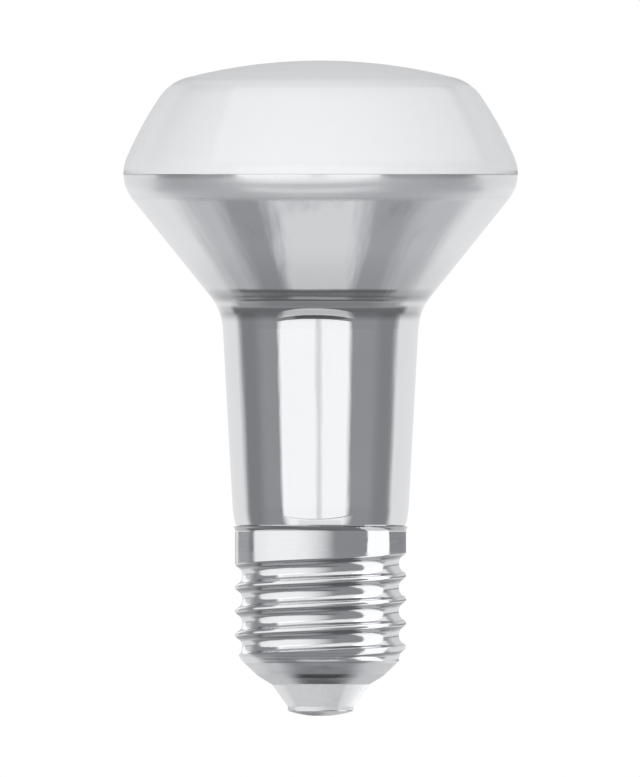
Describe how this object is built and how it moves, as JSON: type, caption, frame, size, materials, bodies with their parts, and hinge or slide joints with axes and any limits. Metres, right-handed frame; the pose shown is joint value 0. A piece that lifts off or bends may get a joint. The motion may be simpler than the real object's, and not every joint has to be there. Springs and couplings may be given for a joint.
{
  "type": "reflector lamp bulb",
  "caption": "Reflector lamp bulb with a frosted crowned dome, a mirrored cone and neck, and a screw cap with an insulated centre contact.",
  "frame": {"origin": "lowest point of the centre contact, on the lamp's axis", "axes": "+Z along the axis from the cap to the dome; +X and +Y across it, with the thread's last full turn starting on the +X side"},
  "size_m": [0.06, 0.06, 0.0997],
  "materials": {
    "bulb_glass": "frosted white dome above the widest line, mirror-coated cone and neck below it",
    "cap_metal": "bright rolled sheet, satin on the bowl",
    "insulator": "glossy light grey moulding",
    "contact_metal": "nickel-plated, slightly drawn"
  },
  "bodies": {
    "root": {"glass_bulb": "bulb_glass", "cap_shell": "cap_metal", "cap_insulator": "insulator", "centre_contact": "contact_metal"}
  },
  "joints": []
}
